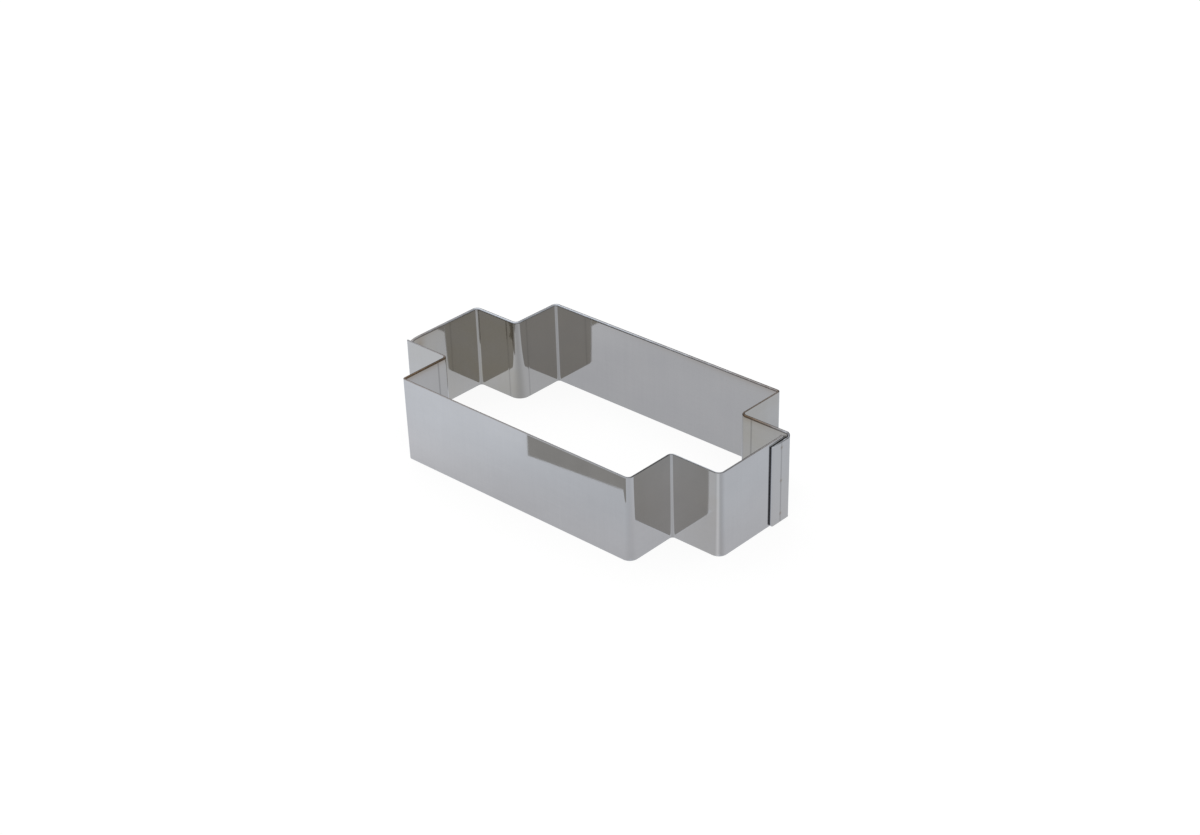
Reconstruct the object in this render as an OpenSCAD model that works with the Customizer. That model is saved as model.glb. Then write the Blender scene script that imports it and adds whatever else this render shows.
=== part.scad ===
// Notched rectangular pastry cutter: an open ring of bright steel strip, with no top or bottom.
// Two equal half strips are folded on edge. Each one ends in a tab that laps the outside of the
// other at a corner, and spot welds hold the two laps.
// Origin: centre of the footprint on the lower rim. +X runs along the length and +Z points up.

/* [Ring] */
// Length between the outer faces of the two end walls
ring_length = 114; // [90:1:200]
// Width between the outer faces of the two long walls
ring_width = 60; // [50:1:120]
// Height of the strip, which is how deep the ring cuts
ring_height = 25; // [15:1:60]

/* [Corner notches] */
// Length of the notch walls that run along the length, over both outer faces
notch_length = 16.1; // [10:0.1:24]
// How far each corner notch goes in along the width
notch_width = 16.2; // [8:0.2:17]

/* [Strip] */
// Thickness of the steel strip
strip_thickness = 0.7; // [0.4:0.05:1]
// Inside radius of the ordinary folds
fold_radius = 1.3; // [0.8:0.1:2.5]

/* [Lapped seam] */
// Inside radius of the fold that wraps round the seam's corner
wrap_radius = 0.5; // [0.3:0.1:1.5]
// Length of the tab, from the outside of its corner to its free end
tab_length = 8.15; // [7.5:0.05:12]
// How far the strip's upper edge drops within the wrapping fold
tab_shoulder = 1; // [0.1:0.05:1.2]
// How far below the rim the upper edge has sloped at the tab's free end
tab_drop = 1.1; // [0.2:0.05:1.2]
// Radius that rounds off the tab's lower free corner
tab_corner = 0.8; // [0.3:0.1:2]
// Room between the tab and the end wall, which the welds bridge
lap_gap = 0.1; // [0.05:0.01:0.3]
// Room between the end of the inner layer and the start of the wrapping fold
end_gap = 0.8; // [0.2:0.1:1.5]

/* [Spot welds] */
// Number of welds up each seam
weld_count = 3; // [2:1:5]
// Diameter of each weld
weld_diameter = 2; // [1:0.1:2.2]
// Distance from the strip's edges to the centre of the nearest weld
weld_edge_distance = 2.6; // [2.6:0.1:5]
// Distance from the end of the inner layer to the centres of the welds
weld_margin = 1.9; // [1.5:0.1:2.5]
// Diameter of the round mark that the electrode presses beside each weld
dimple_diameter = 2.6; // [1:0.1:2.6]
// Depth of the electrode mark
dimple_depth = 0.05; // [0.02:0.01:0.1]

/* [Hidden] */
$fn = 96;
half_thickness = strip_thickness / 2;
// Outer faces of the walls, as distances from the centre
end_face = ring_length / 2;
side_face = ring_width / 2;
notch_face_y = side_face - notch_width;
tab_inner_face = end_face + lap_gap;
tab_outer_face = tab_inner_face + strip_thickness;
// The notch walls are folded alike, so the notch beside a tab is further out by the lap
plain_notch_face_x = end_face - notch_length;
lapped_notch_face_x = tab_outer_face - notch_length;
// Where the tab's flat part starts and stops
tab_flat_start = notch_face_y - strip_thickness - wrap_radius;
tab_end = notch_face_y - tab_length;
inner_layer_end = tab_flat_start - end_gap;
// Welds stand in one line, evenly spaced up the seam
weld_y = inner_layer_end - weld_margin;
weld_pitch = (ring_height - 2 * weld_edge_distance) / (weld_count - 1);
weld_heights = [for (i = [0 : weld_count - 1]) weld_edge_distance + i * weld_pitch];
// The electrode's round nose, as the sphere that leaves a mark of that diameter and depth
dimple_sphere = (pow(dimple_diameter / 2, 2) + pow(dimple_depth, 2)) / (2 * dimple_depth);
// Middle line of one half strip seen from above, from the tab's free end to the inner end
strip_line = [
    [tab_inner_face + half_thickness, tab_end],
    [tab_inner_face + half_thickness, notch_face_y - half_thickness],
    [lapped_notch_face_x - half_thickness, notch_face_y - half_thickness],
    [lapped_notch_face_x - half_thickness, side_face - half_thickness],
    [-plain_notch_face_x + half_thickness, side_face - half_thickness],
    [-plain_notch_face_x + half_thickness, notch_face_y - half_thickness],
    [-end_face + half_thickness, notch_face_y - half_thickness],
    [-end_face + half_thickness, -inner_layer_end]
];
// Inside radius of the fold at each of those points, with none at the two free ends
strip_folds = [for (i = [0 : len(strip_line) - 1])
    i == 0 || i == len(strip_line) - 1 ? undef : i == 1 ? wrap_radius : fold_radius];

function unit(v) = v / norm(v);
// How much of a wall a fold of this inside radius takes up, measured on the middle line
function setback(radius) = is_undef(radius) ? 0 : radius + half_thickness;

// Flat wall between two points of the middle line, less what the folds at its ends take up
module wall(from, to, radius_from, radius_to) {
    along = unit(to - from);
    start = from + along * setback(radius_from);
    length = norm(to - from) - setback(radius_from) - setback(radius_to);
    translate([start.x, start.y, 0])
        rotate(atan2(along.y, along.x))
            translate([0, -half_thickness, 0])
                cube([length, strip_thickness, ring_height]);
}

// Quarter-round fold at a corner of the middle line, between the walls to its two neighbours
module fold(before, corner, after, radius) {
    back = unit(before - corner);
    on = unit(after - corner);
    centre = corner + (back + on) * setback(radius);
    turn = back.x * on.y - back.y * on.x;
    first = turn > 0 ? back : on;
    translate([centre.x, centre.y, 0])
        rotate(atan2(first.y, first.x) + 180)
            rotate_extrude(angle = 90)
                translate([radius, 0])
                    square([strip_thickness, ring_height]);
}

// The whole strip along its middle line, folded on edge
module folded_strip(line, folds) {
    last = len(line) - 1;
    for (i = [1 : last])
        wall(line[i - 1], line[i], folds[i - 1], folds[i]);
    for (i = [1 : last - 1])
        fold(line[i - 1], line[i], line[i + 1], folds[i]);
}

// What the shears take off the tab's upper edge: a shoulder in the fold, then a gentle slope
module edge_trim() {
    past = strip_thickness;
    slope_top = ring_height - tab_shoulder;
    slope_end = ring_height - tab_drop;
    translate([tab_inner_face - wrap_radius, 0, 0])
        rotate([90, 0, 90])
            linear_extrude(wrap_radius + strip_thickness + past)
                polygon([
                    [tab_flat_start + wrap_radius, ring_height],
                    [tab_flat_start, slope_top],
                    [tab_end, slope_end],
                    [tab_end - past, slope_end],
                    [tab_end - past, ring_height + past],
                    [tab_flat_start + wrap_radius, ring_height + past]
                ]);
}

// What rounds off the tab's lower free corner
module corner_round() {
    past = strip_thickness;
    translate([tab_inner_face - lap_gap / 2, tab_end, 0])
        rotate([90, 0, 90])
            linear_extrude(strip_thickness + lap_gap)
                difference() {
                    translate([-past, -past])
                        square(tab_corner + past);
                    translate([tab_corner, tab_corner])
                        circle(r = tab_corner);
                }
}

// Shallow round-nosed cut, centred on the origin and pressed in along -X to its depth
module electrode_mark() {
    // The sphere meets the face at the mark's rim and is wider above it, so the blank is too
    blank_width = 2 * dimple_diameter;
    intersection() {
        translate([dimple_sphere - dimple_depth, 0, 0])
            sphere(r = dimple_sphere);
        translate([-2 * dimple_depth, -blank_width / 2, -blank_width / 2])
            cube([3 * dimple_depth, blank_width, blank_width]);
    }
}

// Marks of one seam's welds in a face at x, pressed in along -X, or along +X if turned
module electrode_marks(x, turned) {
    for (z = weld_heights)
        translate([x, weld_y, z])
            rotate(turned ? 180 : 0)
                electrode_mark();
}

// One half strip: tab, wrapping fold, notch, long wall, notch and end wall
module half_strip() {
    difference() {
        folded_strip(strip_line, strip_folds);
        edge_trim();
        corner_round();
        electrode_marks(tab_outer_face, false);
        rotate(180) electrode_marks(end_face - strip_thickness, true);
    }
}

// Welds of one seam, bridging the room between the end wall and the tab
module seam_welds() {
    for (z = weld_heights)
        translate([end_face, weld_y, z])
            rotate([0, 90, 0])
                cylinder(d = weld_diameter, h = lap_gap);
}

// Half strip behind, with its tab at the right-hand seam
module back_strip() {
    color([0.72, 0.74, 0.76]) half_strip();
}

// Half strip in front, the same piece turned half round, with its tab at the left-hand seam
module front_strip() {
    color([0.67, 0.69, 0.71]) rotate(180) half_strip();
}

// Welds between the front strip's end wall and the back strip's tab
module right_seam_welds() {
    color([0.5, 0.48, 0.45]) seam_welds();
}

// Welds between the back strip's end wall and the front strip's tab
module left_seam_welds() {
    color([0.5, 0.48, 0.45]) rotate(180) seam_welds();
}

back_strip();
front_strip();
right_seam_welds();
left_seam_welds();
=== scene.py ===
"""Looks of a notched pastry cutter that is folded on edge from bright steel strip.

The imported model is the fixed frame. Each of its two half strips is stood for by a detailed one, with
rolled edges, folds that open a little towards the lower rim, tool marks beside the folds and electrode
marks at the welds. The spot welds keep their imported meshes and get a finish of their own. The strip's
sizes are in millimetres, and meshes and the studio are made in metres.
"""

import logging
import math
from dataclasses import dataclass
from enum import Enum
from typing import Any, Callable, Sequence

import bpy
import numpy as np
from mathutils import Matrix, Vector


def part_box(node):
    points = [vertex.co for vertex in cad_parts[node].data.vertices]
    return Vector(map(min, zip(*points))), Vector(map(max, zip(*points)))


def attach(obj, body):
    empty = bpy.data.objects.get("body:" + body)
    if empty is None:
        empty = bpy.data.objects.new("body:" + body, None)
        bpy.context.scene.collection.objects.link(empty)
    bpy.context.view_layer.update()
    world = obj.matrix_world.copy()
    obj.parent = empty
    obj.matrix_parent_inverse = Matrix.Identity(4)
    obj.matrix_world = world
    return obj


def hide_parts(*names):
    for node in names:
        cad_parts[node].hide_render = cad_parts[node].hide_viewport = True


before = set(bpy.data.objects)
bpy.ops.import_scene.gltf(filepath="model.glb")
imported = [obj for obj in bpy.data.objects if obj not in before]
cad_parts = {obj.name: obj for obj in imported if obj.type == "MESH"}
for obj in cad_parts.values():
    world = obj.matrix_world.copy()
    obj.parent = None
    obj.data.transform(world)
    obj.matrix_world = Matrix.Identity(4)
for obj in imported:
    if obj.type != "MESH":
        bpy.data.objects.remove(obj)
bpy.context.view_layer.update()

LOG = logging.getLogger("pastry_cutter")
MM = 0.001
BAKE_MAP = "OFBake"
# Steps round the quarter turn of a rolled edge, after its flat start
ROLL_TURNS = np.radians([30.0, 60.0, 90.0])
ROLL_POINTS = len(ROLL_TURNS)

Colour = tuple[float, float, float]
Place = tuple[float, float, float]
Plan = tuple[float, float]
Span = tuple[float, float]
Ends = Sequence[Span]
Stand = Callable[[np.ndarray], tuple[np.ndarray, np.ndarray]]


class Face(Enum):
    """The two broad faces of the strip, by the sign of their side."""

    OUTER = 1.0
    CAVITY = -1.0


class Datum(Enum):
    """What a column of a wall keeps its distance from."""

    SHARP_START = "sharp start of the wall"
    FOLD_BEFORE = "fold before the wall"
    FOLD_AFTER = "fold after the wall"


class Mark(Enum):
    """What a mesh tells its material, as the name of a value kept at each vertex."""

    ALONG = "along_mm"
    UP = "up_mm"
    SIDE = "face_side"
    EDGE = "sheared_edge"
    FLAT_TONE = "edge_flat_tone"
    OUTER_TONE = "edge_outer_tone"
    INNER_TONE = "edge_inner_tone"
    WARMTH = "edge_warmth"
    PRESS = "press_line"
    HEAT = "weld_heat"
    HOLLOW_SHADE = "hollow_painted_shade"
    SHADE_AND_DULL = "fold_painted_shade_and_dulling"
    FILM_AND_SHADE = "film_and_painted_shade"


# Shader maths


@dataclass(frozen=True)
class Wire:
    """One node output, which adds Math nodes when it is used in an expression."""

    graph: "Graph"
    socket: bpy.types.NodeSocket

    def _math(self, operation: str, *terms: "Wire | float") -> "Wire":
        """Adds a Math node with some wires or numbers as its inputs."""
        return self.graph.add("ShaderNodeMath", {"operation": operation}, dict(enumerate(terms)))

    def __add__(self, other: "Wire | float") -> "Wire":
        """Sum with a wire or number."""
        return self._math("ADD", self, other)

    def __radd__(self, other: float) -> "Wire":
        """Sum with a number on the left."""
        return self._math("ADD", other, self)

    def __sub__(self, other: "Wire | float") -> "Wire":
        """Difference from a wire or number."""
        return self._math("SUBTRACT", self, other)

    def __rsub__(self, other: float) -> "Wire":
        """A number less this wire."""
        return self._math("SUBTRACT", other, self)

    def __mul__(self, other: "Wire | float") -> "Wire":
        """Product with a wire or number."""
        return self._math("MULTIPLY", self, other)

    def __rmul__(self, other: float) -> "Wire":
        """Product with a number on the left."""
        return self._math("MULTIPLY", other, self)

    def __pow__(self, other: float) -> "Wire":
        """Power of this wire."""
        return self._math("POWER", self, other)

    def higher(self, other: "Wire | float") -> "Wire":
        """The larger of two values."""
        return self._math("MAXIMUM", self, other)

    def size(self) -> "Wire":
        """The value without its sign."""
        return self._math("ABSOLUTE", self)

    def swing(self, amount: float) -> "Wire":
        """How far a value between 0 and 1 is from a half, times an amount."""
        return (self - 0.5) * amount


@dataclass(frozen=True)
class Pattern:
    """Soft noise over the unrolled strip, by how fast it changes along, up and across the strip."""

    along: float
    up: float
    across: float
    scale: float = 1.0
    detail: float = 4.0
    roughness: float = 0.6


class Graph:
    """Node tree of one material or world, in which one method makes every node."""

    def __init__(self, tree: bpy.types.NodeTree) -> None:
        """Empties the node tree of a material or world."""
        self.tree = tree
        tree.nodes.clear()

    def add(
        self,
        kind: str,
        settings: dict[str, Any] | None = None,
        values: dict[str | int, Any] | None = None,
        output: str | int = 0,
    ) -> Wire:
        """Makes a node, sets it and wires it.

        Args:
            kind: The node's type.
            settings: Properties to set first.
            values: Numbers, colours or wires for its inputs, by name or index.
            output: Which output to give back, by name or index.

        Returns:
            The wanted output, or the first input of a node that has no output.
        """
        node = self.tree.nodes.new(kind)
        for name, value in (settings or {}).items():
            setattr(node, name, value)
        for key, value in (values or {}).items():
            if isinstance(value, Wire):
                self.tree.links.new(value.socket, node.inputs[key])
            elif node.inputs[key].type == "RGBA":
                node.inputs[key].default_value = (*value, 1.0)
            else:
                node.inputs[key].default_value = value
        return Wire(self, node.outputs[output]) if node.outputs else Wire(self, node.inputs[0])

    def kept(self, mark: Mark) -> Wire:
        """A value that the mesh keeps at its vertices."""
        return self.add("ShaderNodeAttribute", {"attribute_name": mark.value}, output="Fac")

    def step(self, value: Wire, start: float, stop: float) -> Wire:
        """Smooth rise from 0 at start to 1 at stop, or a fall where start is the larger."""
        inputs = {"Value": value, "From Min": start, "From Max": stop}
        return self.add("ShaderNodeMapRange", {"interpolation_type": "SMOOTHSTEP"}, inputs)

    def mix(self, factor: Wire | float, first: Wire | Colour, second: Wire | Colour) -> Wire:
        """Colour that goes from first to second as factor goes from 0 to 1."""
        inputs = {0: factor, 6: first, 7: second}
        return self.add("ShaderNodeMix", {"data_type": "RGBA"}, inputs, output=2)

    def scaled(self, colour: Wire, factor: Wire) -> Wire:
        """Colour made brighter or darker by a factor."""
        return self.add("ShaderNodeVectorMath", {"operation": "SCALE"}, {0: colour, "Scale": factor})

    def vector(self, x: Wire | float, y: Wire | float, z: Wire | float) -> Wire:
        """Vector from three parts."""
        return self.add("ShaderNodeCombineXYZ", values={0: x, 1: y, 2: z})

    def noise(self, at: Wire, scale: float, detail: float, roughness: float = 0.5) -> Wire:
        """Soft noise from 0 to 1 around a half, at a place."""
        inputs = {"Vector": at, "Scale": scale, "Detail": detail, "Roughness": roughness}
        return self.add("ShaderNodeTexNoise", values=inputs)

    def pattern(self, look: Pattern, along: Wire, up: Wire, side: Wire) -> Wire:
        """Soft noise of one look over the unrolled strip."""
        at = self.vector(along * look.along, up * look.up, side * look.across)
        return self.noise(at, look.scale, look.detail, look.roughness)

    def viewers(self) -> tuple[Wire, Wire]:
        """Tells who sees a point.

        Returns:
            Whether the camera sees it directly, and whether it is seen in a mirror or through glass.
        """
        camera = self.add("ShaderNodeLightPath", output="Is Camera Ray")
        glossy = self.add("ShaderNodeLightPath", output="Is Glossy Ray")
        through = self.add("ShaderNodeLightPath", output="Is Transmission Ray")
        return camera, glossy.higher(through)

    def metal(
        self, colour: Wire, roughness: Wire, relief: Wire, depth: float, strength: float = 1.0
    ) -> None:
        """Ends the tree of a material in bare metal.

        Args:
            colour: Colour of the metal.
            roughness: Its roughness.
            relief: Its fine relief, from 0 to 1.
            depth: Depth of the relief, in metres.
            strength: How strongly the relief shows.
        """
        bump = self.add("ShaderNodeBump", values={"Strength": strength, "Distance": depth, "Height": relief})
        inputs = {"Base Color": colour, "Metallic": 1.0, "Roughness": roughness, "Normal": bump}
        shader = self.add("ShaderNodeBsdfPrincipled", values=inputs)
        self.add("ShaderNodeOutputMaterial", values={"Surface": shader})


def new_material(name: str) -> tuple[bpy.types.Material, Graph]:
    """Makes a material with an empty node tree.

    Args:
        name: The material's name.

    Returns:
        The material and the graph of its nodes.
    """
    material = bpy.data.materials.new(name)
    material.use_nodes = True
    return material, Graph(material.node_tree)


def new_object(name: str, data: bpy.types.ID) -> bpy.types.Object:
    """Makes an object and puts it in the scene.

    Args:
        name: The object's name.
        data: Its mesh, camera or lamp.

    Returns:
        The object.
    """
    made = bpy.data.objects.new(name, data)
    bpy.context.scene.collection.objects.link(made)
    return made


# Finishes


@dataclass(frozen=True)
class StripSteel:
    """Bright rolled stainless strip with sheared edges, tool marks, weld tint, painted shade and highlights.
    """

    outer_face: Colour = (0.535, 0.520, 0.494)
    # The cavity face is the outer face's steel made darker and warmer by painted shade
    shaded_cavity_face: Colour = (0.454, 0.431, 0.396)
    film_and_shade: Colour = (0.415, 0.385, 0.322)
    stain: Colour = (0.31, 0.245, 0.175)
    fresh_edge: Colour = (0.50, 0.52, 0.555)
    dull_and_shaded_edge: Colour = (0.185, 0.185, 0.195)
    brown_edge: Colour = (0.150, 0.098, 0.058)
    black_edge: Colour = (0.016, 0.014, 0.013)
    # Fine lines of the rolling mill, faint upright streaks and broad soft smudges
    rolling: Pattern = Pattern(0.012, 1.6, 7.0, scale=3.0, detail=6.0, roughness=0.65)
    streaks: Pattern = Pattern(0.9, 0.03, 5.0)
    smudges: Pattern = Pattern(0.07, 0.11, 3.0, detail=3.0, roughness=0.55)
    rolling_depth: float = 0.0000012
    rolling_contrast: float = 0.08
    streak_contrast: float = 0.05
    smudge_contrast: float = 0.10
    press_darkness: float = 0.3
    film_and_shade_cover: float = 0.75
    film_and_shade_patches: float = 1.6
    # Roughness of a clean face, and what each finish adds to it
    roughness: float = 0.045
    edge_roughness: float = 0.34
    press_roughness: float = 0.12
    dull_roughness: float = 0.35
    smudge_roughness: float = 0.035
    rolling_roughness: float = 0.02
    # Sides between which the rim takes its outer and its inner tone
    outer_rim: Span = (0.15, 0.6)
    inner_rim: Span = (-0.3, -0.75)
    # Tones between which the rim goes from bright to dull and shaded grey, and from that grey to black
    dull_and_shaded_tones: Span = (0.0, 0.55)
    black_tones: Span = (0.6, 1.0)
    wander_scale: float = 0.35
    mottle_scale: float = 0.6
    rim_detail: float = 3.0
    rim_unevenness: float = 0.3

    def material(self) -> bpy.types.Material:
        """Makes the material.

        Returns:
            The finished material.
        """
        material, graph = new_material("strip_steel_finish")
        along = graph.kept(Mark.ALONG)
        up = graph.kept(Mark.UP)
        side = graph.kept(Mark.SIDE)
        edge = graph.kept(Mark.EDGE)
        painted_hollow_shade = graph.kept(Mark.HOLLOW_SHADE)
        rolling = graph.pattern(self.rolling, along, up, side)
        streaks = graph.pattern(self.streaks, along, up, side)
        smudges = graph.pattern(self.smudges, along, up, side)
        colour = self._face_colour(graph, side, rolling, streaks, smudges)
        # Painted shade blackens the narrow hollow inside the wrapping fold
        colour = graph.mix(painted_hollow_shade, colour, self.black_edge)
        colour = graph.mix(edge, colour, self._edge_colour(graph, along, up, side))
        dulled = graph.kept(Mark.SHADE_AND_DULL).higher(0.0) * self.dull_roughness
        worked = graph.kept(Mark.PRESS) * self.press_roughness + dulled
        roughness = self.roughness + smudges.swing(self.smudge_roughness)
        roughness = roughness + rolling.swing(self.rolling_roughness) + worked
        roughness = roughness + painted_hollow_shade.higher(edge) * self.edge_roughness
        graph.metal(colour, roughness, rolling, self.rolling_depth)
        return material

    def _face_colour(self, graph: Graph, side: Wire, rolling: Wire, streaks: Wire, smudges: Wire) -> Wire:
        """Colour of the two broad faces.

        Args:
            graph: Tree to add to.
            side: Which face it is, from -1 at the cavity face to 1 at the outer face.
            rolling: Fine lines along the strip.
            streaks: Faint streaks up and down.
            smudges: Broad soft patches.

        Returns:
            The colour.
        """
        shade = 1.0 + rolling.swing(self.rolling_contrast) + streaks.swing(self.streak_contrast)
        shade = shade + smudges.swing(self.smudge_contrast)
        shade = shade * (1.0 - graph.kept(Mark.PRESS) * self.press_darkness)
        # The fold value darkens the folds as painted shade, and brightens one fold as a painted highlight
        # where it is below zero
        shade = shade * (1.0 - graph.kept(Mark.SHADE_AND_DULL))
        # Painted shade makes the cavity face darker than the outer face
        base = graph.mix(graph.step(side, -0.5, 0.5), self.shaded_cavity_face, self.outer_face)
        # Warmer, darker patches on the faces, partly a film on the steel and partly painted shade
        patchy = graph.kept(Mark.FILM_AND_SHADE) * (self.film_and_shade_cover + smudges.swing(self.film_and_shade_patches))
        base = graph.mix(patchy, base, self.film_and_shade)
        base = graph.mix(graph.kept(Mark.HEAT), base, self.stain)
        return graph.scaled(base, shade)

    def _edge_colour(self, graph: Graph, along: Wire, up: Wire, side: Wire) -> Wire:
        """Colour of the sheared edges, from bright through grey or brown to black, with painted reflection
        and shade.

        Args:
            graph: Tree to add to.
            along: Distance along the strip.
            up: Height above the lower rim.
            side: Place across the edge, from -1 at the cavity face to 1 at the outer face.

        Returns:
            The colour.
        """
        wander = graph.noise(graph.vector(along, up, 0.0), self.wander_scale, self.rim_detail)
        across = side + wander.swing(self.rim_unevenness)
        outer = graph.step(across, *self.outer_rim)
        inner = graph.step(across, *self.inner_rim)
        tone = graph.kept(Mark.FLAT_TONE) * (1.0 - outer - inner)
        tone = tone + graph.kept(Mark.OUTER_TONE) * outer + graph.kept(Mark.INNER_TONE) * inner
        mottle = graph.noise(graph.vector(along, up, side), self.mottle_scale, self.rim_detail)
        tone = tone + mottle.swing(self.rim_unevenness)
        # Grey and brown rims are partly the edges' own dullness and partly painted reflection and shade
        worn = graph.mix(graph.kept(Mark.WARMTH), self.dull_and_shaded_edge, self.brown_edge)
        bright_to_dull_and_shaded = graph.mix(graph.step(tone, *self.dull_and_shaded_tones), self.fresh_edge, worn)
        return graph.mix(graph.step(tone, *self.black_tones), bright_to_dull_and_shaded, self.black_edge)


@dataclass(frozen=True)
class WeldMetal:
    """Grey-brown metal that melted and set between the sheets."""

    cool: Colour = (0.30, 0.28, 0.27)
    warm: Colour = (0.21, 0.16, 0.12)
    patch_scale: float = 1800.0
    patch_detail: float = 4.0
    patch_levels: Span = (0.35, 0.65)
    grain_scale: float = 9000.0
    grain_detail: float = 2.0
    grain_depth: float = 0.00002
    grain_strength: float = 0.6
    roughness: float = 0.42
    grain_roughness: float = 0.25

    def material(self) -> bpy.types.Material:
        """Makes the material.

        Returns:
            The finished material.
        """
        material, graph = new_material("weld_metal_finish")
        place = graph.add("ShaderNodeTexCoord", output="Object")
        patches = graph.noise(place, self.patch_scale, self.patch_detail)
        grains = graph.noise(place, self.grain_scale, self.grain_detail)
        colour = graph.mix(graph.step(patches, *self.patch_levels), self.cool, self.warm)
        roughness = self.roughness + grains.swing(self.grain_roughness)
        graph.metal(colour, roughness, grains, self.grain_depth, self.grain_strength)
        return material


# Strip


def thinned(places: list[float], least: float) -> list[float]:
    """Sorted places without those that follow closer than the least step."""
    return places[:1] + [there for here, there in zip(places, places[1:]) if there - here > least]


@dataclass(frozen=True)
class StripSizes:
    """Sizes of one half strip, in millimetres, and what follows from them."""

    end_face: float
    side_face: float
    tab_outer_face: float
    inner_layer_end: float
    height: float
    notch_length: float = 16.1
    notch_width: float = 16.2
    thickness: float = 0.7
    tab_length: float = 7.7
    tab_shoulder: float = 1.0
    tab_drop: float = 1.1
    tab_corner: float = 0.8
    wrap_radius: float = 0.5
    rolled_edge: float = 0.07
    sheared_roll: float = 0.42
    sheared_roll_depth: float = 0.26
    tab_bevel: float = 0.34
    tab_bevel_reach: float = 0.5
    weld_count: int = 3
    weld_edge_distance: float = 2.6
    weld_margin: float = 1.9
    dimple_diameter: float = 2.6
    dimple_depth: float = 0.05
    press_distance: float = 4.0
    press_half_width: float = 0.2
    press_depth: float = 0.012

    @classmethod
    def from_frame(cls, node: str) -> "StripSizes":
        """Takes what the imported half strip's box gives from the frame.

        Args:
            node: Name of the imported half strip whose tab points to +X.

        Returns:
            The sizes.
        """
        low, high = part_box(node)
        return cls(
            end_face=-low.x / MM,
            side_face=high.y / MM,
            tab_outer_face=high.x / MM,
            inner_layer_end=-low.y / MM,
            height=high.z / MM,
        )

    @property
    def half(self) -> float:
        """Half the strip's thickness."""
        return self.thickness / 2

    @property
    def notch_face(self) -> float:
        """How far from the middle the notch walls that run along the length have their outer faces."""
        return self.side_face - self.notch_width

    @property
    def tab_end(self) -> float:
        """How far from the middle of the end wall the tab ends."""
        return self.notch_face - self.tab_length

    @property
    def weld_line(self) -> float:
        """How far from the middle of the end wall the welds are."""
        return self.inner_layer_end - self.weld_margin

    @property
    def weld_heights(self) -> list[float]:
        """Heights of the welds, evenly spaced."""
        pitch = (self.height - 2 * self.weld_edge_distance) / (self.weld_count - 1)
        return [self.weld_edge_distance + i * pitch for i in range(self.weld_count)]

    def middle_line(self) -> list[Plan]:
        """Middle line of the strip in plan.

        Returns:
            Its sharp corners, from the tab's free end to the inner end.
        """
        half = self.half
        y = self.notch_face - half
        lapped_x = self.tab_outer_face - self.notch_length - half
        plain_x = half + self.notch_length - self.end_face
        return [
            (self.tab_outer_face - half, self.tab_end),
            (self.tab_outer_face - half, y),
            (lapped_x, y),
            (lapped_x, self.side_face - half),
            (plain_x, self.side_face - half),
            (plain_x, y),
            (half - self.end_face, y),
            (half - self.end_face, -self.inner_layer_end),
        ]


@dataclass(frozen=True)
class Fold:
    """One fold: its inside radius at the two rims, the face with the tool's lines, and its looks.

    It opens towards the lower rim, and does so mostly near it. Shade is how far the bend is dulled and
    darkened by painted shade, and press is how strong the tool's lines are.
    """

    lower_radius: float
    upper_radius: float
    pressed: Face | None = None
    shade: float = 0.13
    press: float = 1.0

    def radius(self, height: np.ndarray, strip_height: float) -> np.ndarray:
        """Inside radius at some heights above the lower rim."""
        opening = (1 - height / strip_height) ** 2
        return self.upper_radius + (self.lower_radius - self.upper_radius) * opening


@dataclass(frozen=True)
class Column:
    """One line of vertices round the strip's section, at one place along it."""

    place: Stand
    along: float
    wall: int | None = None
    from_start: float = 0.0
    inset: float = 0.0
    shade_and_dulling: float = 0.0


@dataclass(frozen=True)
class Tones:
    """Tones at the two ends of each wall: of the edges, and of the film and painted shade on the two faces.

    An edge goes from 0 for bright to 1 for black. Above 1 the black reaches further across the rim. The edge
    tones are partly the sheared edges' own dullness and partly painted reflection and shade along the rims.
    """

    flat: Ends
    outer: Ends
    inner: Ends
    warmth: Ends
    film_and_shade_outside: Ends
    film_and_shade_inside: Ends


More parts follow.
